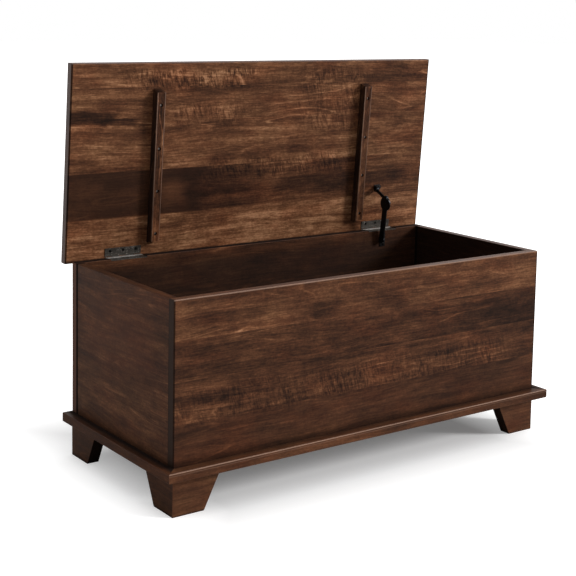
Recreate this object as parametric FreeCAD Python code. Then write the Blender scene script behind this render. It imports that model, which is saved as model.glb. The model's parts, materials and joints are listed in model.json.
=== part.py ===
import math
import os

import FreeCAD
import Part

# Blanket chest with a hinged lid, a pair of butt hinges and a folding lid stay.
# Millimetres. Z up, floor at z = 0, front of the chest towards -Y, lid stored open.
# X is measured from the middle of the chest. Y is measured from the front face
# of the box while the pieces are made, and then shifted to the middle of the
# open chest's length in Y.

V = FreeCAD.Vector
X_AXIS = V(1, 0, 0)
Y_AXIS = V(0, 1, 0)
Z_AXIS = V(0, 0, 1)
ORIGIN = V(0, 0, 0)

# ---------------------------------------------------------------- driving sizes

# the box
box_width = 1100.0
box_depth = 476.0
wall_height = 368.0
wall_thick = 22.0
wall_ease = 1.5
corner_ease = 3.0

# the base frame, a board frame that stands proud of the box at the front and ends
base_thick = 22.0
base_side_overhang = 25.5
base_front_overhang = 28.0
base_board_width = 75.0
base_ease = 2.0

# the loose bottom that lies on the base frame's inner ledge
bottom_thick = 12.0
bottom_clearance = 0.25

# the feet, brackets that taper on their inner edges
foot_height = 88.0
foot_top_width = 124.0
foot_bottom_width = 80.0
foot_thick = 30.0
block_width = 28.0
block_height = 60.0

# the lid
lid_thick = 22.5
lid_side_overhang = 12.0
lid_front_overhang = 0.5
lid_past_axis = 1.5
lid_gap = 0.5
lid_top_round = 4.0
lid_under_round = 4.0
lid_open_angle = 85.6

# the two battens screwed under the lid
batten_end_margin = 223.0
batten_width = 23.0
batten_proud = 23.0
batten_length = 387.0
batten_back_margin = 34.0
batten_ease = 1.5

# the butt hinges
hinge_end_margin = 145.0
hinge_length = 100.0
barrel_radius = 6.5
barrel_stand_off = 1.5
hinge_pin_radius = 3.2
hinge_pin_tip_radius = 4.4
hinge_pin_tip_length = 2.0
leaf_thick = 2.0
lid_leaf_reach = 27.0
box_leaf_reach = 29.5
leaf_side_clearance = 0.2
knuckle_count = 5
knuckle_gap = 0.3

# the folding lid stay: four pivots in a parallelogram with the lid hinge
stay_end_margin = 159.0
stay_reach = 120.0
stay_proud = 13.0
stay_forward = 40.0
stay_drop = 21.0
lower_arm_thick = 3.0
upper_arm_thick = 2.5
lower_arm_foot_radius = 9.0
lower_arm_head_radius = 20.0
lower_arm_head_drop = 14.5
lower_arm_shank_width = 18.0
upper_arm_width = 9.0
upper_arm_tail = 14.0
upper_arm_lid_radius = 7.0
upper_arm_elbow_radius = 8.0
bracket_plate_thick = 2.0
bracket_ear_thick = 3.0
bracket_ear_radius = 8.0
bracket_plate_width = 18.0
lid_plate_length = 14.0
lid_eye_radius = 8.0
lid_eye_side = 16.5
lid_eye_forward = 3.5
box_plate_length = 40.0
rivet_radius = 3.0
rivet_head_radius = 5.0
rivet_head_height = 1.5
stop_pin_radius = 2.5
stop_pin_distance = 11.0

# clearances shared by the moving pieces
side_gap = 0.3
pivot_clearance = 0.05
turn_clearance = 0.3

# angles of the joints between boards
mitre_angle = 45.0
quarter_turn = 90.0
half_turn = 180.0
match_tolerance = 0.03

# ---------------------------------------------------------------- derived sizes

half_width = box_width / 2
half_base = half_width + base_side_overhang
batten_x = half_width - batten_end_margin
hinge_x = half_width - hinge_end_margin
stay_x = half_width - stay_end_margin
base_top = foot_height + base_thick
rim = base_top + wall_height
inner_x = half_width - wall_thick
inner_front = wall_thick
inner_back = box_depth - wall_thick

# the barrels stand just behind the back panel and just under the lid
lid_under = rim + lid_gap
axis_y = box_depth + barrel_radius + barrel_stand_off
axis_z = lid_under - barrel_radius - turn_clearance
box_leaf_top = lid_under - leaf_thick - turn_clearance
box_leaf_low = box_leaf_top - leaf_thick
lid_half_width = half_width + lid_side_overhang
lid_back = axis_y + lid_past_axis
open_radians = math.radians(lid_open_angle)

# the open lid's rounded back top edge is the furthest point towards +Y
round_y = lid_back - lid_top_round - axis_y
round_z = lid_under + lid_thick - lid_top_round - axis_z
open_back = axis_y + round_y * math.cos(open_radians)
open_back += round_z * math.sin(open_radians) + lid_top_round
middle_y = (open_back - base_front_overhang) / 2

# pivots of the stay, in the closed position
lid_pivot = V(0, axis_y - stay_reach, lid_under - stay_proud)
box_pivot = V(0, axis_y - stay_forward, axis_z - stay_drop)
elbow_closed = lid_pivot + V(0, -stay_forward, -stay_drop)
upper_arm_right = stay_x - side_gap
upper_arm_left = upper_arm_right - upper_arm_thick
lower_arm_right = stay_x + lower_arm_thick
box_ear_left = lower_arm_right + side_gap
box_ear_right = box_ear_left + bracket_ear_thick
lid_ear_right = stay_x + bracket_ear_thick
rivet_left = upper_arm_left - side_gap - rivet_head_height

# ---------------------------------------------------------------- helpers


def block(x0, x1, y0, y1, z0, z1):
    return Part.makeBox(x1 - x0, y1 - y0, z1 - z0, V(x0, y0, z0))


def rod_x(radius, x0, x1, centre):
    return Part.makeCylinder(radius, x1 - x0, V(x0, centre.y, centre.z), X_AXIS)


def one_solid(shape):
    clean = shape.removeSplitter()
    if len(clean.Solids) == 1:
        return clean.Solids[0]
    return clean


def edges_at(shape, axis, value, long_axis=None):
    picked = []
    for edge in shape.Edges:
        box = edge.BoundBox
        low = getattr(box, axis + "Min")
        high = getattr(box, axis + "Max")
        on_plane = abs(low - value) < match_tolerance
        on_plane = on_plane and abs(high - value) < match_tolerance
        runs = long_axis is None or getattr(box, long_axis + "Length") > side_gap
        if on_plane and runs:
            picked.append(edge)
    return picked


def unique(edges):
    kept = []
    for edge in edges:
        if not any(edge.isSame(other) for other in kept):
            kept.append(edge)
    return kept


def ease(shape, radius, edges):
    return shape.makeFillet(radius, unique(edges))


def vertical_side(corner_x, corner_y, angle):
    """Everything on one side of an upright plane through a corner."""
    size = 2 * box_width
    side = Part.makeBox(size, size, size, V(0, -size / 2, -size / 2))
    side.rotate(ORIGIN, Z_AXIS, angle)
    side.translate(V(corner_x, corner_y, 0))
    return side


def mirrored(shape):
    return shape.mirror(ORIGIN, X_AXIS)


def opened(shape, centre_y, centre_z):
    turned = shape.copy()
    turned.rotate(V(0, centre_y, centre_z), X_AXIS, -lid_open_angle)
    return turned


nodes = {}


def keep(name, *shapes):
    solids = []
    for shape in shapes:
        solids.extend(shape.Solids)
    whole = solids[0] if len(solids) == 1 else Part.makeCompound(solids)
    whole.translate(V(0, -middle_y, 0))
    nodes[name] = whole


# ---------------------------------------------------------------- the box


def long_wall(y0, outer_y):
    wall = block(-half_width, half_width, y0, y0 + wall_thick, base_top, rim)
    wall = ease(wall, corner_ease, edges_at(wall, "Y", outer_y, "Z"))
    return ease(wall, wall_ease, edges_at(wall, "Z", rim))


front_panel = long_wall(0, 0)
back_panel = long_wall(inner_back, box_depth)

# a gain across the back panel's rim takes both leaves of each hinge
gain_half = hinge_length / 2 + leaf_side_clearance
for x in (-hinge_x, hinge_x):
    gain = block(
        x - gain_half,
        x + gain_half,
        inner_back - wall_thick,
        box_depth + wall_thick,
        box_leaf_low,
        lid_under,
    )
    back_panel = back_panel.cut(gain)
back_panel = one_solid(back_panel)

side_panel = block(-half_width, -inner_x, inner_front, inner_back, base_top, rim)
side_panel = ease(side_panel, wall_ease, edges_at(side_panel, "Z", rim, "Y"))

bottom_panel = block(
    -inner_x + bottom_clearance,
    inner_x - bottom_clearance,
    inner_front + bottom_clearance,
    inner_back - bottom_clearance,
    base_top,
    base_top + bottom_thick,
)

# ---------------------------------------------------------------- the base frame

base_front = -base_front_overhang
rail_inner_x = half_base - base_board_width
rail_inner_front = base_board_width - base_front_overhang
rail_inner_back = box_depth - base_board_width

front_rail = block(
    -half_base, half_base, base_front, rail_inner_front, foot_height, base_top
)
front_rail = ease(front_rail, base_ease, edges_at(front_rail, "Y", base_front, "X"))
front_rail = front_rail.cut(vertical_side(half_base, base_front, mitre_angle))
front_rail = front_rail.cut(vertical_side(-half_base, base_front, quarter_turn + mitre_angle))

side_rail = block(
    -half_base, -rail_inner_x, base_front, box_depth, foot_height, base_top
)
side_rail = ease(side_rail, base_ease, edges_at(side_rail, "X", -half_base, "Y"))
side_rail = side_rail.cut(vertical_side(-half_base, base_front, -mitre_angle))

back_rail = block(
    -rail_inner_x, rail_inner_x, rail_inner_back, box_depth, foot_height, base_top
)

centre_rail = block(
    -base_board_width / 2,
    base_board_width / 2,
    rail_inner_front,
    rail_inner_back,
    foot_height,
    base_top,
)

# ---------------------------------------------------------------- the feet


def tapered_board():
    """A bracket board in the XZ plane, square on the left and sloped on the right."""
    board = Part.makeWedge(
        0,
        0,
        0,
        0,
        0,
        foot_bottom_width,
        foot_height,
        foot_thick,
        foot_thick,
        foot_top_width,
    )
    board.rotate(ORIGIN, X_AXIS, quarter_turn)
    board.translate(V(0, foot_thick, 0))
    return board


def front_foot_boards():
    front = tapered_board()
    front = front.cut(vertical_side(0, 0, quarter_turn + mitre_angle))
    side = tapered_board()
    side = side.mirror(ORIGIN, V(1, -1, 0))
    side = side.cut(vertical_side(0, 0, -mitre_angle))
    for board in (front, side):
        board.translate(V(-half_width, 0, 0))
    return front, side


def rear_foot_board():
    side = tapered_board()
    side = side.mirror(ORIGIN, V(1, -1, 0))
    side = side.mirror(ORIGIN, Y_AXIS)
    side.translate(V(-half_width, box_depth, 0))
    return side


foot_front, foot_side = front_foot_boards()
foot_rear = rear_foot_board()

block_low = foot_height - block_height
block_x = -half_width + foot_thick
front_block = block(
    block_x,
    block_x + block_width,
    foot_thick,
    foot_thick + block_width,
    block_low,
    foot_height,
)
rear_block = block(
    block_x,
    block_x + block_width,
    box_depth - block_width,
    box_depth,
    block_low,
    foot_height,
)

# ---------------------------------------------------------------- hinges, lid closed

knuckle_length = (hinge_length - (knuckle_count - 1) * knuckle_gap) / knuckle_count
knuckle_step = knuckle_length + knuckle_gap
axis_point = V(0, axis_y, axis_z)


def knuckle_start(index):
    return -hinge_length / 2 + index * knuckle_step


def lid_leaf():
    """The leaf on the lid's underside; the odd knuckles are its own."""
    leaf = block(
        -hinge_length / 2,
        hinge_length / 2,
        axis_y - lid_leaf_reach,
        axis_y,
        lid_under - leaf_thick,
        lid_under,
    )
    for index in range(knuckle_count):
        start = knuckle_start(index)
        stop = start + knuckle_length
        if index % 2 == 0:
            notch = block(
                start - knuckle_gap,
                stop + knuckle_gap,
                axis_y - barrel_radius - turn_clearance,
                axis_y + barrel_radius,
                axis_z,
                lid_under + turn_clearance,
            )
            leaf = leaf.cut(notch)
        else:
            leaf = leaf.fuse(rod_x(barrel_radius, start, stop, axis_point))
            crown = block(
                start, stop, axis_y - leaf_thick, axis_y, axis_z, lid_under
            )
            leaf = leaf.fuse(crown)
    bore = rod_x(
        hinge_pin_radius + pivot_clearance, -hinge_length, hinge_length, axis_point
    )
    return one_solid(leaf.cut(bore))


def box_leaf():
    """The leaf let into the back panel's rim; the even knuckles are its own."""
    leaf = block(
        -hinge_length / 2,
        hinge_length / 2,
        axis_y - box_leaf_reach,
        axis_y,
        box_leaf_low,
        box_leaf_top,
    )
    for index in range(knuckle_count):
        start = knuckle_start(index)
        stop = start + knuckle_length
        if index % 2 == 0:
            leaf = leaf.fuse(rod_x(barrel_radius, start, stop, axis_point))
        else:
            notch = block(
                start - knuckle_gap,
                stop + knuckle_gap,
                axis_y - barrel_radius - turn_clearance,
                axis_y + barrel_radius,
                axis_z - barrel_radius,
                axis_z + barrel_radius,
            )
            leaf = leaf.cut(notch)
    bore = rod_x(hinge_pin_radius, -hinge_length, hinge_length, axis_point)
    return one_solid(leaf.cut(bore))


def hinge_pin():
    pin = rod_x(hinge_pin_radius, -hinge_length / 2, hinge_length / 2, axis_point)
    for side in (-1, 1):
        end = side * hinge_length / 2
        outer = end + side * hinge_pin_tip_length
        tip = rod_x(hinge_pin_tip_radius, min(end, outer), max(end, outer), axis_point)
        pin = pin.fuse(tip)
    return one_solid(pin)


def placed(shape, x):
    moved = shape.copy()
    moved.translate(V(x, 0, 0))
    return moved


lid_leaf_shape = lid_leaf()
box_leaf_shape = box_leaf()
hinge_pin_shape = hinge_pin()

# ---------------------------------------------------------------- battens, lid closed

batten_back = lid_back - batten_back_margin
batten_front = batten_back - batten_length
batten_low = lid_under - batten_proud


def batten():
    bar = block(
        -batten_width / 2,
        batten_width / 2,
        batten_front,
        batten_back,
        batten_low,
        lid_under,
    )
    edges = edges_at(bar, "Z", batten_low)
    for side in (batten_front, batten_back):
        for edge in edges_at(bar, "Y", side, "Z"):
            edges.append(edge)
    return ease(bar, batten_ease, edges)


batten_shape = batten()

# ---------------------------------------------------------------- lid stay, lid closed


def bar(start, end, width, x0, x1):
    """A straight flat bar in the YZ plane from one pivot to another."""
    run = end - start
    length = run.Length
    flat = Part.makeBox(x1 - x0, length, width, V(x0, 0, -width / 2))
    angle = math.degrees(math.atan2(run.z, run.y))
    flat.rotate(ORIGIN, X_AXIS, angle)
    flat.translate(V(0, start.y, start.z))
    return flat


def at_angle(centre, distance, degrees):
    turn = math.radians(degrees)
    return centre + V(0, distance * math.cos(turn), distance * math.sin(turn))


upper_angle = math.degrees(math.atan2(stay_drop, stay_forward))
tail_at = at_angle(elbow_closed, upper_arm_tail, upper_angle + half_turn)

# with the lid open the stop pin lies against the tail of the upper arm
stop_reach = upper_arm_width / 2 + stop_pin_radius + side_gap
stop_angle = upper_angle + half_turn
stop_angle += math.degrees(math.asin(stop_reach / stop_pin_distance))
stop_at = at_angle(elbow_closed, stop_pin_distance, stop_angle + lid_open_angle)


def lower_arm():
    run = box_pivot - elbow_closed
    head_at = elbow_closed + run * (lower_arm_head_drop / run.Length)
    arm = bar(box_pivot, elbow_closed, lower_arm_shank_width, stay_x, lower_arm_right)
    for centre, radius in (
        (box_pivot, lower_arm_foot_radius),
        (elbow_closed, lower_arm_foot_radius),
        (head_at, lower_arm_head_radius),
    ):
        arm = arm.fuse(rod_x(radius, stay_x, lower_arm_right, centre))
    holes = rod_x(
        rivet_radius + pivot_clearance, stay_x - side_gap, box_ear_left, box_pivot
    )
    holes = holes.fuse(rod_x(rivet_radius, stay_x - side_gap, box_ear_left, elbow_closed))
    holes = holes.fuse(rod_x(stop_pin_radius, stay_x - side_gap, box_ear_left, stop_at))
    return one_solid(arm.cut(holes))


def upper_arm():
    arm = bar(lid_pivot, tail_at, upper_arm_width, upper_arm_left, upper_arm_right)
    for centre, radius in (
        (lid_pivot, upper_arm_lid_radius),
        (elbow_closed, upper_arm_elbow_radius),
        (tail_at, upper_arm_width / 2),
    ):
        arm = arm.fuse(rod_x(radius, upper_arm_left, upper_arm_right, centre))
    for centre in (lid_pivot, elbow_closed):
        hole = rod_x(rivet_radius + pivot_clearance, rivet_left, stay_x, centre)
        arm = arm.cut(hole)
    return one_solid(arm)


def rivet(centre, left, right):
    """A shank between two heads; left and right are the heads' inner faces."""
    pin = rod_x(rivet_radius, left, right, centre)
    pin = pin.fuse(rod_x(rivet_head_radius, left - rivet_head_height, left, centre))
    pin = pin.fuse(rod_x(rivet_head_radius, right, right + rivet_head_height, centre))
    return one_solid(pin)


lid_plate_low = lid_under - bracket_plate_thick
box_plate_front = inner_back - bracket_plate_thick


def lid_bracket():
    """A foot with a round eye beside the ear that carries the pivot."""
    eye_at = V(stay_x + lid_eye_side, lid_pivot.y - lid_eye_forward, lid_plate_low)
    plate = block(
        stay_x,
        eye_at.x,
        eye_at.y - lid_plate_length / 2,
        eye_at.y + lid_plate_length / 2,
        lid_plate_low,
        lid_under,
    )
    plate = plate.fuse(
        Part.makeCylinder(lid_eye_radius, bracket_plate_thick, eye_at, Z_AXIS)
    )
    ear = rod_x(bracket_ear_radius, stay_x, lid_ear_right, lid_pivot)
    web = block(
        stay_x,
        lid_ear_right,
        lid_pivot.y - bracket_ear_radius,
        lid_pivot.y + bracket_ear_radius,
        lid_pivot.z,
        lid_plate_low,
    )
    bracket = plate.fuse(ear).fuse(web)
    bracket = bracket.cut(rod_x(rivet_radius, upper_arm_left, box_ear_right, lid_pivot))
    return one_solid(bracket)


def box_bracket():
    plate = block(
        box_ear_left,
        box_ear_left + bracket_plate_width,
        box_plate_front,
        inner_back,
        box_pivot.z - box_plate_length / 2,
        box_pivot.z + box_plate_length / 2,
    )
    ear = rod_x(bracket_ear_radius, box_ear_left, box_ear_right, box_pivot)
    web = block(
        box_ear_left,
        box_ear_right,
        box_pivot.y,
        box_plate_front,
        box_pivot.z - bracket_ear_radius,
        box_pivot.z + bracket_ear_radius,
    )
    bracket = plate.fuse(ear).fuse(web)
    hole = rod_x(rivet_radius, lower_arm_right, box_ear_right + side_gap, box_pivot)
    bracket = bracket.cut(hole)
    return one_solid(bracket)


lid_rivet = rivet(lid_pivot, upper_arm_left - side_gap, lid_ear_right)
elbow_rivet = rivet(elbow_closed, upper_arm_left - side_gap, lower_arm_right)
box_rivet = rivet(box_pivot, stay_x - side_gap, box_ear_right)
stop_pin = rod_x(stop_pin_radius, upper_arm_left, lower_arm_right, stop_at)

# ---------------------------------------------------------------- the lid, closed

lid_panel = block(
    -lid_half_width,
    lid_half_width,
    -lid_front_overhang,
    lid_back,
    lid_under,
    lid_under + lid_thick,
)
lid_panel = ease(
    lid_panel, lid_top_round, edges_at(lid_panel, "Z", lid_under + lid_thick)
)
under_edges = []
for edge in edges_at(lid_panel, "Z", lid_under):
    if edge.BoundBox.YMin < lid_back - lid_top_round:
        under_edges.append(edge)
lid_panel = ease(lid_panel, lid_under_round, under_edges)

# ---------------------------------------------------------------- fixed pieces

keep("front_panel", front_panel)
keep("back_panel", back_panel)
keep("left_side_panel", side_panel)
keep("right_side_panel", mirrored(side_panel))
keep("bottom_panel", bottom_panel)
keep("base_front_rail", front_rail)
keep("base_left_rail", side_rail)
keep("base_right_rail", mirrored(side_rail))
keep("base_back_rail", back_rail)
keep("base_centre_rail", centre_rail)
keep("foot_front_left_face", foot_front)
keep("foot_front_left_side", foot_side)
keep("foot_front_right_face", mirrored(foot_front))
keep("foot_front_right_side", mirrored(foot_side))
keep("foot_rear_left", foot_rear)
keep("foot_rear_right", mirrored(foot_rear))
keep(
    "foot_corner_blocks",
    front_block,
    rear_block,
    mirrored(front_block),
    mirrored(rear_block),
)
keep("hinge_box_leaf_left", placed(box_leaf_shape, -hinge_x))
keep("hinge_box_leaf_right", placed(box_leaf_shape, hinge_x))
keep("hinge_pin_left", placed(hinge_pin_shape, -hinge_x))
keep("hinge_pin_right", placed(hinge_pin_shape, hinge_x))
keep("stay_box_bracket", box_bracket())
keep("stay_box_rivet", box_rivet)

# ---------------------------------------------------------------- pieces on the lid


def keep_on_lid(name, *shapes):
    turned = []
    for shape in shapes:
        turned.append(opened(shape, axis_y, axis_z))
    keep(name, *turned)


keep_on_lid("lid_panel", lid_panel)
keep_on_lid("batten_left", placed(batten_shape, -batten_x))
keep_on_lid("batten_right", placed(batten_shape, batten_x))
keep_on_lid("hinge_lid_leaf_left", placed(lid_leaf_shape, -hinge_x))
keep_on_lid("hinge_lid_leaf_right", placed(lid_leaf_shape, hinge_x))
keep_on_lid("stay_lid_bracket", lid_bracket())
keep_on_lid("stay_lid_rivet", lid_rivet)

# ---------------------------------------------------------------- the stay's arms

for name, shape in (
    ("stay_lower_arm", lower_arm()),
    ("stay_elbow_rivet", elbow_rivet),
    ("stay_stop_pin", stop_pin),
):
    keep(name, opened(shape, box_pivot.y, box_pivot.z))

# the upper arm keeps its own slope while the lid carries its top pivot
upper = upper_arm()
carried = lid_pivot - V(0, axis_y, axis_z)
turn = FreeCAD.Rotation(X_AXIS, -lid_open_angle)
lifted = turn.multVec(carried)
upper.translate(lifted - carried)
keep("stay_upper_arm", upper)

# ---------------------------------------------------------------- write the pieces

os.makedirs("parts", exist_ok=True)
for name, shape in nodes.items():
    shape.exportStep("parts/" + name + ".step")
    print(name, len(shape.Solids), round(shape.Volume), shape.isValid())
print("origin shift in Y", middle_y)
print("hinge axis", axis_y - middle_y, axis_z)
for label, point in (("box pivot", box_pivot), ("lid pivot closed", lid_pivot)):
    print(label, point.y - middle_y, point.z)
lid_pivot_open = V(0, axis_y, axis_z) + lifted
print("lid pivot open", lid_pivot_open.y - middle_y, lid_pivot_open.z)
print("elbow open", lid_pivot_open.y - middle_y - stay_forward, lid_pivot_open.z - stay_drop)
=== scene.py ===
import json
import math

import bmesh
import bpy
from mathutils import Matrix, Vector


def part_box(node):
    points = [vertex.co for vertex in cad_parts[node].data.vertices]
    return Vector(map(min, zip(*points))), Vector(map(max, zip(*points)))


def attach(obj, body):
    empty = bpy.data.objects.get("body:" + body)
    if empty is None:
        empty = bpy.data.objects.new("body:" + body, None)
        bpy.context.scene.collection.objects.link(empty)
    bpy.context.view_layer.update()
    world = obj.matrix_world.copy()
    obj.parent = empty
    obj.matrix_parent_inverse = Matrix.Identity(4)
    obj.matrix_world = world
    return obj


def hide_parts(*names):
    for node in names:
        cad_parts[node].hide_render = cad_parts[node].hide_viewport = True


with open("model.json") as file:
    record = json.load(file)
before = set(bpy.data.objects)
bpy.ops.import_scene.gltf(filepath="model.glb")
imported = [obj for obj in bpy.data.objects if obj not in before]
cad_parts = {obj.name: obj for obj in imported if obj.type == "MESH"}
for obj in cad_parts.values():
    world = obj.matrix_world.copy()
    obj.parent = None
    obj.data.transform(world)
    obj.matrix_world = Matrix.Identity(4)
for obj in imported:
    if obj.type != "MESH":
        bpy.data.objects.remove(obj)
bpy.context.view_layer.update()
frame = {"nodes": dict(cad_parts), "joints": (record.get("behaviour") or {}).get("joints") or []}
NODES = frame["nodes"]
QUARTER = math.pi / 2
WHITE = (1, 1, 1, 1)

# ---------------------------------------------------------------- sizes of the chest, in metres


def middle_x(node_name):
    low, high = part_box(node_name)
    return (low[0] + high[0]) / 2


HINGE = Vector(next(j["pos_m"] for j in frame["joints"] if j["name"] == "lid_hinge"))
FRONT_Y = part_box("front_panel")[0][1]
BACK_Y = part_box("back_panel")[1][1]
PANEL = BACK_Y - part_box("back_panel")[0][1]
RIM_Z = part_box("front_panel")[1][2]
HALF_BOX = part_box("front_panel")[1][0]
HALF_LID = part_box("lid_panel")[1][0]
HALF_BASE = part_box("base_front_rail")[1][0]
BASE_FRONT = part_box("base_front_rail")[0][1]
BASE_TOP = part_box("front_panel")[0][2]
BASE_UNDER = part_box("base_front_rail")[0][2]

# how far the lid's underside and its back edge lie from the hinges' axis
AXIS_TO_LID = 0.0068
AXIS_TO_EDGE = 0.0015
LID_HEIGHT = 0.486
LEAF_THICK = 0.0020
LEAF_GAP = 0.0003
BATTEN_PROUD = 0.023
BATTEN_WIDTH = 0.023
BRACKET_THICK = 0.0020

# the open lid's own directions: along x, up from its back edge, and out of its underside
OPEN = math.radians(85.6)
LID_UP = Vector((0, -math.cos(OPEN), math.sin(OPEN)))
LID_OUT = Vector((0, -math.sin(OPEN), -math.cos(OPEN)))
LID_ORIGIN = HINGE - LID_UP * AXIS_TO_EDGE - LID_OUT * AXIS_TO_LID
TO_LID = Matrix((Vector((1, 0, 0)), LID_UP, LID_OUT))

# ---------------------------------------------------------------- node helpers

# a Mix node's factor, first colour and second colour, and the colour that it gives
MIX_INPUTS = (0, 6, 7)
MIX_RESULT = 2


def node(tree, kind, **settings):
    made = tree.nodes.new(kind)
    for key, value in settings.items():
        setattr(made, key, value)
    return made


def join(tree, a, b):
    tree.links.new(a, b)


def feed(tree, value, socket):
    """Sets a socket to a number or a tuple, or joins it to another socket."""
    if isinstance(value, (int, float, tuple)):
        socket.default_value = value
    else:
        join(tree, value, socket)


def math_node(tree, operation, *values):
    made = node(tree, "ShaderNodeMath", operation=operation)
    for value, socket in zip(values, made.inputs):
        feed(tree, value, socket)
    return made.outputs[0]


def vector_node(tree, operation, *values):
    made = node(tree, "ShaderNodeVectorMath", operation=operation)
    for value, socket in zip(values, made.inputs):
        feed(tree, value, socket)
    return made


def shifted(tree, vector, offset):
    return vector_node(tree, "ADD", vector, offset).outputs["Vector"]


def axes_of(tree, vector):
    parts = node(tree, "ShaderNodeSeparateXYZ")
    join(tree, vector, parts.inputs[0])
    return {axis: parts.outputs[axis] for axis in "XYZ"}


def ramp(tree, factor, stops, mode="LINEAR"):
    """stops are (place, colour) pairs; a plain number stands for a grey."""
    made = node(tree, "ShaderNodeValToRGB")
    made.color_ramp.interpolation = mode
    while len(made.color_ramp.elements) < len(stops):
        made.color_ramp.elements.new(1.0)
    for element, (place, colour) in zip(made.color_ramp.elements, stops):
        if isinstance(colour, float):
            colour = (colour, colour, colour)
        element.position = place
        element.color = (*colour, 1)
    join(tree, factor, made.inputs["Fac"])
    return made.outputs["Color"]


def noise(tree, vector, scale, detail, roughness, distortion=0.0):
    """A tuple for the scale gives each axis its own."""
    if isinstance(scale, tuple):
        vector = vector_node(tree, "MULTIPLY", vector, scale).outputs["Vector"]
        scale = 1.0
    made = node(tree, "ShaderNodeTexNoise")
    made.inputs["Scale"].default_value = scale
    made.inputs["Detail"].default_value = detail
    made.inputs["Roughness"].default_value = roughness
    made.inputs["Distortion"].default_value = distortion
    join(tree, vector, made.inputs["Vector"])
    return made.outputs["Fac"]


def spread(tree, value, low, high, out_low=0.0, out_high=1.0):
    """Stretches the range from low to high over the given one, and holds it at the ends."""
    made = node(tree, "ShaderNodeMapRange")
    made.inputs["From Min"].default_value = low
    made.inputs["From Max"].default_value = high
    made.inputs["To Min"].default_value = out_low
    made.inputs["To Max"].default_value = out_high
    join(tree, value, made.inputs["Value"])
    return made.outputs["Result"]


def weigh(tree, total, value, middle, amount):
    """Adds amount times how far value is from its middle."""
    part = math_node(tree, "MULTIPLY", math_node(tree, "SUBTRACT", value, middle), amount)
    return math_node(tree, "ADD", total, part)


def blend_colour(tree, factor, a, b, mode="MIX"):
    made = node(tree, "ShaderNodeMix", data_type="RGBA", blend_type=mode)
    for place, value in zip(MIX_INPUTS, (factor, a, b)):
        if isinstance(value, tuple):
            value = (*value, 1)
        feed(tree, value, made.inputs[place])
    return made.outputs[MIX_RESULT]


def bump_normal(tree, shader, height, distance):
    bump = node(tree, "ShaderNodeBump")
    bump.inputs["Strength"].default_value = 0.15
    bump.inputs["Distance"].default_value = distance
    join(tree, height, bump.inputs["Height"])
    join(tree, bump.outputs[0], shader.inputs["Normal"])


def pick_shader(tree, factor, off, on):
    """The shader off where the factor is 0, and the shader on where it is 1."""
    pick = node(tree, "ShaderNodeMixShader")
    join(tree, factor, pick.inputs[0])
    join(tree, off.outputs[0], pick.inputs[1])
    join(tree, on.outputs[0], pick.inputs[2])
    return pick.outputs[0]


# ---------------------------------------------------------------- stained maple

# how far apart two boards' places in the tree are, for each unit of their numbers
BOARD_STEPS = (7.3, 3.1, 1.7)
WANDER = 0.022
CURL_LEAN = math.radians(-14)
# the curl that every board has, also where none is marked
CURL_EVERYWHERE = 0.16
STAIN = [
    (0.00, (0.0140, 0.0066, 0.0040)),
    (0.22, (0.0310, 0.0130, 0.0072)),
    (0.42, (0.0620, 0.0244, 0.0120)),
    (0.58, (0.1010, 0.0410, 0.0192)),
    (0.76, (0.1740, 0.0750, 0.0350)),
    (1.00, (0.3500, 0.1720, 0.0890)),
]
LEAN_TO_RED = (1.04, 0.92, 0.88)
LEAN_TO_OLIVE = (0.95, 0.99, 0.98)


def own_place(tree, given):
    """Every board is cut from its own place in the tree."""
    shift = node(tree, "ShaderNodeCombineXYZ")
    for socket, step in zip(shift.inputs, BOARD_STEPS):
        join(tree, math_node(tree, "MULTIPLY", given.outputs["Board"], step), socket)
    return shifted(tree, given.outputs["Vector"], shift.outputs[0])


def wandering_grain(tree, moved):
    """The grain drifts slowly across the board."""
    wander = noise(tree, moved, (2.4, 8.0, 8.0), 2.0, 0.5)
    lift = node(tree, "ShaderNodeCombineXYZ")
    join(tree, spread(tree, wander, 0, 1, -WANDER, WANDER), lift.inputs["Y"])
    return shifted(tree, moved, lift.outputs[0])


def growth_lines(tree, moved, along):
    """Light lines, the contours of a slow swell in the board, that show here and there."""
    swell = noise(tree, along, (1.5, 13.0, 13.0), 1.0, 0.40)
    lines = math_node(tree, "PINGPONG", math_node(tree, "MULTIPLY", swell, 26.0), 1.0)
    lines = spread(tree, lines, 0.80, 0.98)
    shown = noise(tree, moved, (3.2, 15.0, 15.0), 3.0, 0.55)
    return math_node(tree, "MULTIPLY", lines, spread(tree, shown, 0.50, 0.66))


def curl_ripples(tree, moved, amount):
    """Short ripples that stand across the grain, in patches."""
    lean = node(tree, "ShaderNodeMapping", vector_type="POINT")
    lean.inputs["Rotation"].default_value = (0, 0, CURL_LEAN)
    join(tree, moved, lean.inputs["Vector"])
    ripple = noise(tree, lean.outputs[0], (120.0, 27.0, 27.0), 4.0, 0.72, 0.9)
    ripple = spread(tree, ripple, 0.34, 0.58, -0.75, 0.24)
    patches = noise(tree, moved, (11.0, 34.0, 34.0), 4.0, 0.68)
    patches = spread(tree, patches, 0.38, 0.62, 0.25, 1.0)
    amount = math_node(tree, "ADD", amount, CURL_EVERYWHERE)
    return math_node(tree, "MULTIPLY", ripple, math_node(tree, "MULTIPLY", amount, patches))


def stain_colour(tree, moved, value):
    """From dark to light, leaning to red here and to olive there."""
    colour = ramp(tree, value, STAIN)
    hue = noise(tree, moved, (7.0, 15.0, 15.0), 3.0, 0.6)
    redder = spread(tree, hue, 0.50, 0.70)
    colour = blend_colour(tree, redder, colour, LEAN_TO_RED, "MULTIPLY")
    greener = spread(tree, hue, 0.50, 0.32)
    return blend_colour(tree, greener, colour, LEAN_TO_OLIVE, "MULTIPLY")


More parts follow.
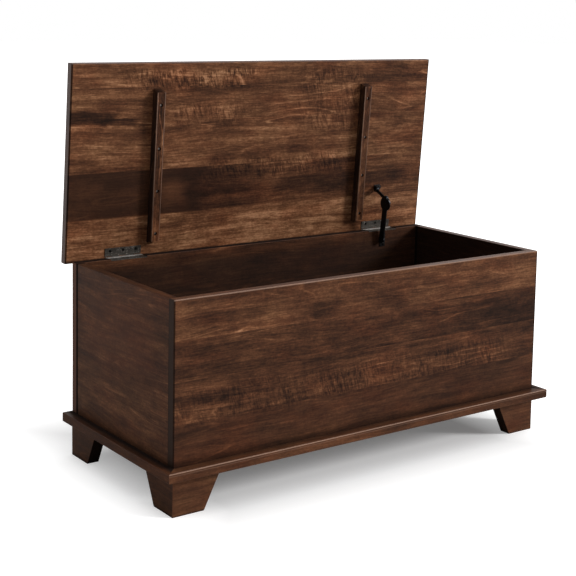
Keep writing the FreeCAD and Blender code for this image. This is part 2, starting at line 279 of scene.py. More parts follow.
def maple_group():
    """Grain, curl and stain of dark stained maple, with X along the board and metres for units."""
    tree = bpy.data.node_groups.new("stained_maple", "ShaderNodeTree")
    face = tree.interface
    face.new_socket("Vector", in_out="INPUT", socket_type="NodeSocketVector")
    for name in ("Board", "Tone", "Curl", "Depth"):
        face.new_socket(name, in_out="INPUT", socket_type="NodeSocketFloat")
    face.new_socket("Color", in_out="OUTPUT", socket_type="NodeSocketColor")
    face.new_socket("Roughness", in_out="OUTPUT", socket_type="NodeSocketFloat")
    face.new_socket("Height", in_out="OUTPUT", socket_type="NodeSocketFloat")
    given = node(tree, "NodeGroupInput")
    result = node(tree, "NodeGroupOutput")

    moved = own_place(tree, given)
    along = wandering_grain(tree, moved)
    cloud = noise(tree, along, (5.5, 19.0, 19.0), 4.0, 0.62)
    blotch = noise(tree, moved, (15.0, 38.0, 38.0), 4.0, 0.66)
    band = noise(tree, along, (1.9, 50.0, 50.0), 4.0, 0.60)
    streak = noise(tree, along, (5.0, 140.0, 140.0), 3.0, 0.62)
    fibre = noise(tree, along, (26.0, 420.0, 420.0), 2.0, 0.60)
    speck = noise(tree, moved, (130.0, 260.0, 260.0), 2.0, 0.60)
    lines = growth_lines(tree, moved, along)
    curl = curl_ripples(tree, moved, given.outputs["Curl"])

    varied = 0.0
    for part, middle, amount in (
        (cloud, 0.5, 0.66),
        (blotch, 0.5, 0.62),
        (band, 0.5, 0.62),
        (streak, 0.5, 0.50),
        (fibre, 0.5, 0.48),
        (speck, 0.5, 0.42),
        (lines, 0.0, 0.26),
        (curl, 0.0, 0.52),
    ):
        varied = weigh(tree, varied, part, middle, amount)
    value = math_node(tree, "MULTIPLY_ADD", varied, given.outputs["Depth"], given.outputs["Tone"])
    join(tree, stain_colour(tree, moved, value), result.inputs["Color"])

    rough = weigh(tree, weigh(tree, 0.46, fibre, 0.5, 0.25), cloud, 0.5, 0.15)
    join(tree, rough, result.inputs["Roughness"])
    height = math_node(tree, "MULTIPLY_ADD", streak, 0.5, fibre)
    height = math_node(tree, "MULTIPLY_ADD", curl, 0.25, height)
    join(tree, height, result.inputs["Height"])
    return tree


MAPLE = maple_group()

# ---------------------------------------------------------------- boards and their marks

# almost black: painted shade in corners, insides, gaps and under things, and the colour of the dark
# joint behind the side panels
SHADE_AND_JOINT_BLACK = (0.0042, 0.0026, 0.0022)
END_GRAIN = (0.0260, 0.0140, 0.0095)
BROWN_END = (0.0980, 0.0420, 0.0260)
RUDDY = (0.1200, 0.0330, 0.0170)
# a pale grey laid as a painted sheen, the reflection of a white surround on rims and edges
PAINTED_SHEEN = (0.1300, 0.1000, 0.0920)
# a pale colour laid as painted highlights along arrises
PAINTED_HIGHLIGHT = (0.3000, 0.1900, 0.1400)

# farther out than any piece, for a limit that is open on one side
ANY = 9.0
# the softness of a glue line
SHARP = 0.001
DOWN = (0, 0, -1)


def region(tree, coords, limits):
    """1 inside the limits, each (low, high, softness) along one axis, and 0 outside them."""
    mask = 1.0
    for axis, (low, high, soft) in limits.items():
        rise = spread(tree, coords[axis], low - soft, low + soft)
        fall = spread(tree, coords[axis], high - soft, high + soft, 1.0, 0.0)
        mask = math_node(tree, "MULTIPLY", mask, math_node(tree, "MULTIPLY", rise, fall))
    return mask


def faces_toward(tree, direction):
    """1 where the surface faces along the direction and 0 where it doesn't."""
    surface = node(tree, "ShaderNodeNewGeometry")
    along = vector_node(tree, "DOT_PRODUCT", surface.outputs["True Normal"], direction)
    return spread(tree, along.outputs["Value"], 0.12, 0.20)


def wandering_axes(tree, vector, straight):
    """The same axes with a slow and a fast wobble, for edges that follow the grain."""
    slow = noise(tree, vector, (9.0, 22.0, 22.0), 4.0, 0.62)
    fast = noise(tree, vector, (14.0, 120.0, 120.0), 3.0, 0.65)
    wandering = dict(straight)
    wandering["X"] = weigh(tree, straight["X"], slow, 0.5, 0.14)
    wandering["Y"] = weigh(tree, weigh(tree, straight["Y"], slow, 0.5, 0.016), fast, 0.5, 0.022)
    return wandering


def marked(tree, straight, wandering, level, depth, marks):
    """The tone, contrast and curl that the marks leave."""
    tone, contrast, curl = level, depth, 0.0
    for kind, amount, limits in marks:
        coords = dict(wandering)
        if kind in ("plank", "calm"):
            coords["Y"] = straight["Y"]
        mask = region(tree, coords, limits)
        if kind == "curl":
            curl = math_node(tree, "MAXIMUM", curl, math_node(tree, "MULTIPLY", mask, amount))
        elif kind == "calm":
            contrast = math_node(tree, "MULTIPLY_ADD", mask, -amount, contrast)
        else:
            tone = math_node(tree, "MULTIPLY_ADD", mask, amount, tone)
    return tone, contrast, curl


def stained(tree, straight, colour, rough, stains_and_painted_light, shaded_facing):
    """Lays end grain, a reddish tone, a dark joint, painted shade and painted highlights over a
    colour; the black of the painted shade and of the joint is dull as well as dark.
    """
    for stain, amount, limits in stains_and_painted_light:
        mask = math_node(tree, "MULTIPLY", region(tree, straight, limits), amount)
        colour = blend_colour(tree, mask, colour, stain)
        # the black of painted shade and of the joint is made dull as well as dark
        if stain == SHADE_AND_JOINT_BLACK:
            rough = math_node(tree, "MAXIMUM", rough, mask)
    # faces that point the given way get painted shade, almost black and dull
    if shaded_facing is not None:
        mask = math_node(tree, "MULTIPLY", faces_toward(tree, shaded_facing), 0.9)
        colour = blend_colour(tree, mask, colour, SHADE_AND_JOINT_BLACK)
        rough = math_node(tree, "MAXIMUM", rough, mask)
    return colour, rough


def board_wood(
    name, turn, boards, seed, shift=(0, 0, 0), marks=(), stains_and_painted_light=(), depth=1.0, shaded_facing=None
):
    """A glued-up panel.

    turn and shift take a place on the chest to the wood's own axes, with X along the
    grain and Y across it. boards are (place across, tone) pairs. marks are (kind,
    amount, limits): tone and curl have edges that wander with the grain, plank is a
    tone and calm a loss of contrast that keep to the glue lines. The colours laid
    over the wood are (colour, amount, limits) with straight edges: end grain, a reddish
    tone and a dark joint, and painted shade and painted highlights at arrises, corners,
    rims and insides. depth scales the contrast of the grain. Faces that point the
    given way are painted almost black, as painted shade.
    """
    material = bpy.data.materials.new(name)
    material.use_nodes = True
    tree = material.node_tree
    tree.nodes.clear()
    out = node(tree, "ShaderNodeOutputMaterial")
    shader = node(tree, "ShaderNodeBsdfPrincipled")
    join(tree, shader.outputs[0], out.inputs[0])
    where = node(tree, "ShaderNodeTexCoord")
    wood = node(tree, "ShaderNodeMapping", vector_type="POINT")
    wood.inputs["Rotation"].default_value = turn
    wood.inputs["Location"].default_value = shift
    join(tree, where.outputs["Object"], wood.inputs["Vector"])
    straight = axes_of(tree, wood.outputs[0])
    wandering = wandering_axes(tree, wood.outputs[0], straight)

    level = node(tree, "ShaderNodeRGBToBW")
    join(tree, ramp(tree, straight["Y"], boards, "CONSTANT"), level.inputs[0])
    tone, contrast, curl = marked(tree, straight, wandering, level.outputs[0], depth, marks)
    maple = node(tree, "ShaderNodeGroup", node_tree=MAPLE)
    join(tree, wood.outputs[0], maple.inputs["Vector"])
    join(tree, math_node(tree, "ADD", level.outputs[0], seed), maple.inputs["Board"])
    join(tree, tone, maple.inputs["Tone"])
    feed(tree, contrast, maple.inputs["Depth"])
    feed(tree, curl, maple.inputs["Curl"])

    colour, rough = stained(
        tree, straight, maple.outputs["Color"], maple.outputs["Roughness"], stains_and_painted_light, shaded_facing
    )
    join(tree, colour, shader.inputs["Base Color"])
    join(tree, rough, shader.inputs["Roughness"])
    bump_normal(tree, shader, maple.outputs["Height"], 0.0006)
    shader.inputs["Specular IOR Level"].default_value = 0.05
    return material


def glued_up(lines, tones):
    """Boards from the places of their glue lines and one tone more, starting at 0."""
    return list(zip((0.0, *lines), tones))


def both_ends(colour, amount, low, high, soft):
    """The same colour at the left and the right end, used for end grain and for painted shade and
    painted sheen.
    """
    return [
        (colour, amount, {"X": (-high, -low, soft)}),
        (colour, amount, {"X": (low, high, soft)}),
    ]


# ---------------------------------------------------------------- the lid's wood

# X is x, Y is up the open lid and Z is out of its underside
LID_TURN = TO_LID.to_euler("XYZ")
LID_SHIFT = -(TO_LID @ LID_ORIGIN)
LID_LINES = (0.103, 0.218, 0.336, 0.424)
DARK_BOARD = (LID_LINES[0], LID_LINES[1], SHARP)
NEAR_LID_ENDS = (0.001 - HALF_LID, HALF_LID - 0.001, 0.0005)

LID_WOOD = board_wood(
    "lid_wood",
    LID_TURN,
    glued_up(LID_LINES, (0.71, 0.50, 0.63, 0.57, 0.58)),
    0.0,
    LID_SHIFT,
    marks=[
        ("calm", 0.62, {"X": (-ANY, -0.190, 0.030), "Y": DARK_BOARD}),
        ("tone", -0.32, {"X": (-ANY, -0.455, 0.016), "Y": (0.338, 0.369, 0.003)}),
        ("tone", -0.28, {"X": (-0.50, -0.385, 0.020), "Y": (0.333, 0.348, 0.004)}),
        ("tone", 0.16, {"X": (-0.440, -0.385, 0.012), "Y": (0.350, 0.372, 0.006)}),
        ("plank", -0.26, {"X": (-ANY, -0.180, 0.030), "Y": DARK_BOARD}),
        ("plank", -0.12, {"X": (-0.26, -0.020, 0.050), "Y": DARK_BOARD}),
        ("tone", -0.18, {"X": (-0.200, -0.050, 0.040), "Y": (0.140, 0.206, 0.010)}),
        ("tone", 0.12, {"X": (-0.53, -0.44, 0.035), "Y": (0.165, 0.190, 0.010)}),
        ("tone", 0.20, {"X": (-0.300, -0.235, 0.018), "Y": (0.125, 0.185, 0.012)}),
        ("tone", -0.26, {"X": (0.06, 0.300, 0.040), "Y": (0.128, 0.172, 0.010)}),
        ("tone", -0.24, {"X": (0.340, 0.470, 0.020), "Y": (0.134, 0.168, 0.006)}),
        ("tone", -0.16, {"X": (0.400, 0.60, 0.030), "Y": (0.434, 0.446, 0.004)}),
        ("tone", -0.16, {"X": (0.480, 0.530, 0.010), "Y": (0.340, 0.350, 0.004)}),
        ("tone", 0.12, {"X": (-0.27, 0.09, 0.040), "Y": (0.451, 0.460, 0.004)}),
        ("curl", 1.15, {"X": (-0.41, -0.04, 0.030), "Y": (0.420, 0.466, 0.005)}),
        ("curl", 0.90, {"X": (-0.27, -0.08, 0.030), "Y": (0.325, 0.376, 0.010)}),
        ("curl", 0.90, {"X": (-0.17, 0.30, 0.030), "Y": (0.185, 0.232, 0.008)}),
        ("curl", 0.60, {"X": (0.12, 0.34, 0.030), "Y": (0.300, 0.470, 0.010)}),
    ],
    stains_and_painted_light=[
        # painted shade along the lid's rounded ends
        *both_ends(SHADE_AND_JOINT_BLACK, 0.85, HALF_LID - 0.0042, HALF_LID - 0.0006, 0.0006),
        # a painted reflection on the lid's end faces
        *both_ends(PAINTED_SHEEN, 0.92, HALF_LID - 0.0004, ANY, 0.0002),
        # painted shade along the lid's lower edge, above the rim
        (SHADE_AND_JOINT_BLACK, 0.78, {"X": NEAR_LID_ENDS, "Y": (-ANY, 0.0050, 0.0015)}),
        # a painted highlight along the lid's front edge
        (PAINTED_SHEEN, 0.75, {"Y": (LID_HEIGHT - 0.0016, ANY, 0.0004)}),
    ],
    depth=1.12,
)

# ---------------------------------------------------------------- the box's wood

# X is x, Y is z and Z is -y on the front and the back; X is y, Y is z and Z is x on the ends
GRAIN_ALONG_X = (-QUARTER, 0, 0)
GRAIN_ALONG_Y = Matrix(((0, 1, 0), (0, 0, 1), (1, 0, 0))).to_euler("XYZ")
FRONT_LINES = (0.203, 0.295, 0.386)

# painted shade along the box's rounded upright corners
SHADED_CORNERS = both_ends(SHADE_AND_JOINT_BLACK, 0.75, HALF_BOX - 0.0034, HALF_BOX - 0.0004, 0.0006)
# painted shade on the panels just above the base
SHADE_ABOVE_BASE = (SHADE_AND_JOINT_BLACK, 0.72, {"Y": (-ANY, BASE_TOP + 0.006, 0.010)})
ON_RIM = (RIM_Z - 0.0006, ANY, 0.0004)
# painted shade on the front panel's inside
SHADED_FRONT_INSIDE = {
    "Y": (BASE_TOP, RIM_Z - 0.002, 0.001),
    "Z": (-ANY, -FRONT_Y - PANEL + 0.001, 0.001),
}
# a painted highlight along the front panel's outer top arris
FRONT_ARRIS_HIGHLIGHT = {"Y": (RIM_Z - 0.0024, ANY, 0.0006), "Z": (-FRONT_Y - 0.0020, ANY, 0.0006)}
# painted shade and a painted dark reflection on the back panel's top
SHADED_BACK_RIM = {"Y": (RIM_Z - 0.0004, ANY, 0.0003), "Z": (-BACK_Y, 0.020 - BACK_Y, 0.0008)}
# painted shade on the back panel's inside, fading towards the rim
SHADED_BACK_INSIDE = {
    "X": (0.001 - HALF_BOX, HALF_BOX - 0.001, 0.0005),
    "Y": (BASE_TOP, RIM_Z - 0.020, 0.014),
    "Z": (0.010 - BACK_Y, ANY, 0.001),
}
BACK_JOINT = {"X": (BACK_Y - PANEL - 0.0095, BACK_Y - PANEL + 0.001, 0.0006)}
# painted shade on the side panels' insides
SHADED_ENDS_INSIDE = {
    "Z": (0.010 - HALF_BOX, HALF_BOX - 0.010, 0.002),
    "Y": (BASE_TOP, RIM_Z - 0.001, 0.001),
}

FRONT_WOOD = board_wood(
    "front_wood",
    GRAIN_ALONG_X,
    glued_up(FRONT_LINES, (0.34, 0.41, 0.37, 0.45)),
    2.0,
    marks=[
        ("calm", 0.30, {"Y": (-ANY, FRONT_LINES[0], SHARP)}),
        ("plank", 0.09, {"Y": (FRONT_LINES[2], ANY, SHARP)}),
        ("curl", 0.74, {"X": (-0.60, 0.42, 0.030), "Y": (0.200, 0.268, 0.008)}),
        ("tone", -0.17, {"X": (-0.22, 0.20, 0.050), "Y": (0.283, 0.302, 0.004)}),
        ("tone", 0.13, {"X": (-0.60, 0.05, 0.060), "Y": (0.372, 0.388, 0.004)}),
        ("tone", -0.18, {"X": (-0.180, -0.115, 0.016), "Y": (0.398, 0.430, 0.008)}),
        ("tone", -0.14, {"X": (-0.01, 0.105, 0.018), "Y": (0.386, 0.408, 0.006)}),
        ("tone", -0.15, {"X": (-0.50, -0.38, 0.018), "Y": (0.240, 0.262, 0.006)}),
        ("tone", 0.10, {"X": (0.10, 0.40, 0.050), "Y": (0.372, 0.386, 0.003)}),
        ("tone", -0.17, {"X": (0.30, 0.60, 0.040), "Y": (0.290, 0.370, 0.012)}),
        ("tone", -0.06, {"X": (0.30, 0.60, 0.040), "Y": (0.203, 0.290, 0.012)}),
    ],
    stains_and_painted_light=[
        *SHADED_CORNERS,
        *both_ends(END_GRAIN, 0.95, HALF_BOX - 0.0006, ANY, 0.0002),
        SHADE_ABOVE_BASE,
        (SHADE_AND_JOINT_BLACK, 0.85, SHADED_FRONT_INSIDE),
        # painted sheen on the front rim, stronger towards the right
        (PAINTED_SHEEN, 0.08, {"Y": ON_RIM}),
        (PAINTED_SHEEN, 0.40, {"X": (-0.30, ANY, 0.20), "Y": ON_RIM}),
        (PAINTED_HIGHLIGHT, 0.60, FRONT_ARRIS_HIGHLIGHT),
    ],
)
BACK_WOOD = board_wood(
    "back_wood",
    GRAIN_ALONG_X,
    glued_up((0.18, 0.27, 0.37), (0.40, 0.36, 0.44, 0.38)),
    5.0,
    stains_and_painted_light=[
        *SHADED_CORNERS,
        *both_ends(BROWN_END, 0.85, HALF_BOX - 0.0006, ANY, 0.0002),
        (SHADE_AND_JOINT_BLACK, 0.93, SHADED_BACK_RIM),
        (SHADE_AND_JOINT_BLACK, 0.60, SHADED_BACK_INSIDE),
    ],
    depth=0.8,
)
SIDE_WOOD = board_wood(
    "side_wood",
    GRAIN_ALONG_Y,
    glued_up((0.21, 0.30, 0.40), (0.48, 0.45, 0.46, 0.45)),
    8.0,
    marks=[
        ("tone", 0.06, {"X": (-0.10, 0.12, 0.060), "Y": (0.29, 0.42, 0.040)}),
        ("tone", -0.07, {"X": (-0.22, -0.12, 0.040), "Y": (0.33, 0.43, 0.030)}),
    ],
    stains_and_painted_light=[
        (RUDDY, 0.16, {"X": (-0.16, 0.14, 0.050), "Y": (0.27, 0.45, 0.040)}),
        (SHADE_AND_JOINT_BLACK, 0.97, BACK_JOINT),
        (SHADE_AND_JOINT_BLACK, 0.80, SHADED_ENDS_INSIDE),
        # painted shade on the left side's rim
        (SHADE_AND_JOINT_BLACK, 0.50, {"Y": ON_RIM, "Z": (-ANY, 0.0, 0.1)}),
        # painted sheen on the right side's rim
        (PAINTED_SHEEN, 0.45, {"Y": ON_RIM, "Z": (0.0, ANY, 0.1)}),
        SHADE_ABOVE_BASE,
    ],
    depth=0.85,
)

# ---------------------------------------------------------------- the base's and the feet's wood

# painted shade darkens the base where the panels stand on it, and painted highlights run along its
# outer arris
ON_BASE = (BASE_TOP - 0.004, ANY, 0.002)
BASE_ARRIS = (-BASE_FRONT - 0.0030, ANY, 0.0006)
SHADE_ROUND_THE_BOX = {
    "X": (-HALF_BOX - 0.004, HALF_BOX + 0.004, 0.006),
    "Y": ON_BASE,
    "Z": (-BACK_Y - 0.008, 0.007 - FRONT_Y, 0.010),
}
# painted shade on the end rails beside the box
SHADE_BESIDE_THE_BOX = {"Y": ON_BASE, "Z": (-HALF_BOX - 0.016, HALF_BOX + 0.016, 0.008)}
UPPER_ARRIS_HIGHLIGHT = {"Z": BASE_ARRIS, "Y": (BASE_TOP - 0.0020, BASE_TOP, 0.0006)}
LOWER_ARRIS_HIGHLIGHT = {"Z": BASE_ARRIS, "Y": (BASE_TOP - 0.0064, BASE_TOP - 0.0050, 0.0005)}
# painted shade darkens the feet at the floor and in the joint under the base
FOOT_PAINTED_SHADE = [
    (SHADE_AND_JOINT_BLACK, 0.60, {"Y": (-ANY, 0.0024, 0.0010)}),
    (SHADE_AND_JOINT_BLACK, 0.62, {"Y": (BASE_UNDER - 0.0026, ANY, 0.0012)}),
]

RAIL_WOOD = board_wood(
    "front_rail_wood",
    GRAIN_ALONG_X,
    [(0.0, 0.44)],
    11.0,
    stains_and_painted_light=[
        (SHADE_AND_JOINT_BLACK, 0.72, SHADE_ROUND_THE_BOX),
        (PAINTED_HIGHLIGHT, 0.70, UPPER_ARRIS_HIGHLIGHT),
        (PAINTED_HIGHLIGHT, 0.24, LOWER_ARRIS_HIGHLIGHT),
    ],
    depth=0.7,
)
END_RAIL_WOOD = board_wood(
    "end_rail_wood",
    GRAIN_ALONG_Y,
    [(0.0, 0.38)],
    12.0,
    stains_and_painted_light=[(SHADE_AND_JOINT_BLACK, 0.92, SHADE_BESIDE_THE_BOX)],
    depth=0.7,
)
# the feet's downward faces get painted shade, almost black
FOOT_WOOD = board_wood(
    "foot_wood",
    GRAIN_ALONG_X,
    [(0.0, 0.48)],
    14.0,
    stains_and_painted_light=FOOT_PAINTED_SHADE,
    depth=0.62,
    shaded_facing=DOWN,
)
# the feet's downward faces get painted shade, almost black
FOOT_SIDE_WOOD = board_wood(
    "foot_side_wood",
    GRAIN_ALONG_Y,
    [(0.0, 0.39)],
    15.0,
    stains_and_painted_light=FOOT_PAINTED_SHADE,
    depth=0.6,
    shaded_facing=DOWN,
)

# ---------------------------------------------------------------- the battens' wood

# X is up the open lid, Y is BATTEN_ACROSS - x and Z is out of the lid's underside
BATTEN_TURN = Matrix(((0, 1, 0), (-1, 0, 0), (0, 0, 1))) @ TO_LID
BATTEN_ACROSS = 0.5
# painted shade on the battens' sides
SHADED_BATTEN_SIDES = {"Z": (-ANY, BATTEN_PROUD - 0.0024, 0.0010)}
ARRIS_REACH = 0.0020


def painted_arris_highlights():
    """Painted highlights along the long edges of the battens' faces."""
    for name in ("batten_left", "batten_right"):
        middle = BATTEN_ACROSS - middle_x(name)
        for edge in (middle - BATTEN_WIDTH / 2, middle + BATTEN_WIDTH / 2):
            across = (edge - ARRIS_REACH, edge + ARRIS_REACH, 0.0005)
            outer = (BATTEN_PROUD - ARRIS_REACH, ANY, 0.0005)
            yield (PAINTED_HIGHLIGHT, 0.42, {"Y": across, "Z": outer})


BATTEN_WOOD = board_wood(
    "batten_wood",
    BATTEN_TURN.to_euler("XYZ"),
    [(0.0, 0.44)],
    17.0,
    Vector((0, BATTEN_ACROSS, 0)) - BATTEN_TURN @ LID_ORIGIN,
    stains_and_painted_light=[(SHADE_AND_JOINT_BLACK, 0.74, SHADED_BATTEN_SIDES), *painted_arris_highlights()],
    depth=1.4,
)

# ---------------------------------------------------------------- metals


def metal(name, colour, dark, roughness, wear):
    """Plated or painted metal with a mottled finish that has rubbed thin in places."""
    material = bpy.data.materials.new(name)
    material.use_nodes = True
    tree = material.node_tree
    shader = tree.nodes["Principled BSDF"]
    where = node(tree, "ShaderNodeTexCoord")
    mottle = noise(tree, where.outputs["Object"], 240.0, 4.0, 0.6)
    brush = noise(tree, where.outputs["Object"], (60.0, 900.0, 900.0), 3.0, 0.6)
    rubbed = spread(tree, mottle, 0.56, 0.72)
    tone = blend_colour(tree, spread(tree, brush, 0.3, 0.7), dark, colour)
    worn = tuple(min(1.0, part * (1 + wear)) for part in colour)
    join(tree, blend_colour(tree, rubbed, tone, worn), shader.inputs["Base Color"])
    rough = spread(tree, mottle, 0.3, 0.7, roughness - 0.08, roughness + 0.10)
    join(tree, rough, shader.inputs["Roughness"])
    bump_normal(tree, shader, brush, 0.0002)
    shader.inputs["Metallic"].default_value = 0.9
    return material


def paint_barrel_highlight(material, inner, outer, highlight_colour):
    """Paints a highlight on a hinge's barrel: a lighter colour between two distances from the pin's
    axis.
    """
    tree = material.node_tree
    shader = tree.nodes["Principled BSDF"]
    where = node(tree, "ShaderNodeTexCoord")
    centred = shifted(tree, where.outputs["Object"], (0, -HINGE.y, -HINGE.z))
    flattened = vector_node(tree, "MULTIPLY", centred, (0, 1, 1)).outputs["Vector"]
    reach = vector_node(tree, "LENGTH", flattened).outputs["Value"]
    near = spread(tree, reach, inner, outer, 1.0, 0.0)
    plain = shader.inputs["Base Color"].links[0].from_socket
    join(tree, blend_colour(tree, near, plain, highlight_colour), shader.inputs["Base Color"])


HINGE_METAL = metal("dark_bronze", (0.090, 0.080, 0.070), (0.030, 0.026, 0.022), 0.45, 1.6)
# a painted highlight on the hinges' barrels
paint_barrel_highlight(HINGE_METAL, 0.0066, 0.0070, (0.23, 0.215, 0.20))
STAY_METAL = metal("black_enamel", (0.018, 0.018, 0.019), (0.009, 0.009, 0.010), 0.38, 1.0)
STEEL = metal("plain_steel", (0.34, 0.33, 0.32), (0.20, 0.19, 0.185), 0.34, 0.4)
SCREW_METAL = metal("dark_screw", (0.009, 0.008, 0.007), (0.004, 0.0035, 0.003), 0.50, 0.8)
BRIGHT_SCREW_METAL = metal("bright_screw", (0.24, 0.20, 0.18), (0.13, 0.11, 0.10), 0.42, 0.6)

# ---------------------------------------------------------------- finishes of the nodes


def paint(mesh, material):
    mesh.materials.clear()
    mesh.materials.append(material)


# the battens and the hinge leaves are painted when they are bored
FINISHES = (
    (FRONT_WOOD, ("front_panel",)),
    (BACK_WOOD, ("back_panel", "bottom_panel")),
    (SIDE_WOOD, ("left_side_panel", "right_side_panel")),
    (RAIL_WOOD, ("base_front_rail", "base_back_rail")),
    (END_RAIL_WOOD, ("base_centre_rail", "base_left_rail", "base_right_rail")),
    (FOOT_WOOD, ("foot_front_left_face", "foot_front_right_face", "foot_corner_blocks")),
    (FOOT_SIDE_WOOD, ("foot_front_left_side", "foot_front_right_side")),
    (FOOT_SIDE_WOOD, ("foot_rear_left", "foot_rear_right")),
    (LID_WOOD, ("lid_panel",)),
    (STEEL, ("hinge_pin_left", "hinge_pin_right")),
    (STAY_METAL, ("stay_box_bracket", "stay_lid_bracket", "stay_lower_arm", "stay_upper_arm")),
    (STAY_METAL, ("stay_box_rivet", "stay_lid_rivet", "stay_elbow_rivet", "stay_stop_pin")),
)
for material, names in FINISHES:
    for name in names:
        paint(NODES[name].data, material)

# ---------------------------------------------------------------- shaping helpers

ROUND_SIDES = 20
MERGE_DISTANCE = 1e-6


def on_lid(x, height, out):
    """A point given by its place on the open lid's underside."""
    return LID_ORIGIN + Vector((x, 0, 0)) + LID_UP * height + LID_OUT * out


def mesh_object(name, mesh):
    made = bpy.data.objects.new(name, mesh)
    bpy.context.scene.collection.objects.link(made)
    return made


def merged_form(mesh):
    """A form to edit, with the mesh's loose triangles joined."""
    form = bmesh.new()
    form.from_mesh(mesh)
    bmesh.ops.remove_doubles(form, verts=form.verts, dist=MERGE_DISTANCE)
    return form


def write_form(form, mesh):
    form.to_mesh(mesh)
    form.free()
    return mesh


def subtract(piece, cutter):
    cut = piece.modifiers.new(cutter.name, "BOOLEAN")
    cut.operation = "DIFFERENCE"
    cut.solver = "EXACT"
    cut.object = cutter


def settled(source, name):
    """A plain mesh object of what the modifiers on source make; source is removed."""
    graph = bpy.context.evaluated_depsgraph_get()
    mesh = bpy.data.meshes.new_from_object(source.evaluated_get(graph))
    mesh.name = name
    bpy.data.objects.remove(source)
    return mesh_object(name, mesh)


def rods_mesh(places, axis, radius, depth):
    """Closed round rods that start at the places and run along the axis."""
    form = bmesh.new()
    turn = axis.to_track_quat("Z", "Y").to_matrix().to_4x4()
    for place in places:
        bmesh.ops.create_cone(
            form,
            cap_ends=True,
            segments=ROUND_SIDES,
            radius1=radius,
            radius2=radius,
            depth=depth,
            matrix=Matrix.Translation(place + axis * depth / 2) @ turn,
        )
    return write_form(form, bpy.data.meshes.new("rods"))


def bored(node_name, places, axis, radius, depth):
    """A copy of a node's form with blind round holes; places are the holes' floors."""
    mesh = NODES[node_name].data.copy()
    write_form(merged_form(mesh), mesh)
    # the rods are twice as long as the holes are deep, so that they stand out of the surface
    cutter = mesh_object("bores", rods_mesh(places, axis, radius, 2 * depth))
    whole = mesh_object(node_name + "_whole", mesh)
    whole.matrix_world = NODES[node_name].matrix_world
    subtract(whole, cutter)
    piece = settled(whole, node_name + "_bored")
    bpy.data.objects.remove(cutter)
    return piece


def stand_in(piece, node_name, body, material):
    paint(piece.data, material)
    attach(piece, body)
    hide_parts(node_name)


# ---------------------------------------------------------------- screws

HEAD_PROFILE = ((0.5, 0.0), (0.5, 0.05), (0.44, 0.12), (0.30, 0.165), (0.20, 0.175))
RECESS_BAR = (0.52, 0.10, 0.18)
RECESS_HEIGHT = 0.16
# the float maximum of a Random Value node, and its float result
RANDOM_MAX = 3
RANDOM_FLOAT = 1


def pan_head_mesh():
    """A plain pan head, 1 across, standing on its seat at z = 0."""
    form = bmesh.new()
    rings = []
    for radius, height in HEAD_PROFILE:
        ring = []
        for step in range(ROUND_SIDES):
            angle = 2 * math.pi * step / ROUND_SIDES
            place = (radius * math.cos(angle), radius * math.sin(angle), height)
            ring.append(form.verts.new(place))
        rings.append(ring)
    for inner, outer in zip(rings[1:], rings[:-1]):
        for step in range(ROUND_SIDES):
            after = (step + 1) % ROUND_SIDES
            form.faces.new((outer[step], outer[after], inner[after], inner[step]))
    form.faces.new(rings[-1])
    form.faces.new(tuple(reversed(rings[0])))
    return write_form(form, bpy.data.meshes.new("head"))


def recess_bar(turn):
    """One of the two bars that cut the cross recess."""
    form = bmesh.new()
    place = Matrix.Translation((0, 0, RECESS_HEIGHT)) @ Matrix.Rotation(turn, 4, "Z")
    bmesh.ops.create_cube(form, size=1.0, matrix=place @ Matrix.Diagonal((*RECESS_BAR, 1)))
    return mesh_object("recess", write_form(form, bpy.data.meshes.new("recess")))


def screw_head():
    """A pan head with a cross recess."""
    head = mesh_object("head", pan_head_mesh())
    bars = [recess_bar(turn) for turn in (0, QUARTER)]
    for bar in bars:
        subtract(head, bar)
    finished = settled(head, "screw_head")
    for bar in bars:
        bpy.data.objects.remove(bar)
    return finished


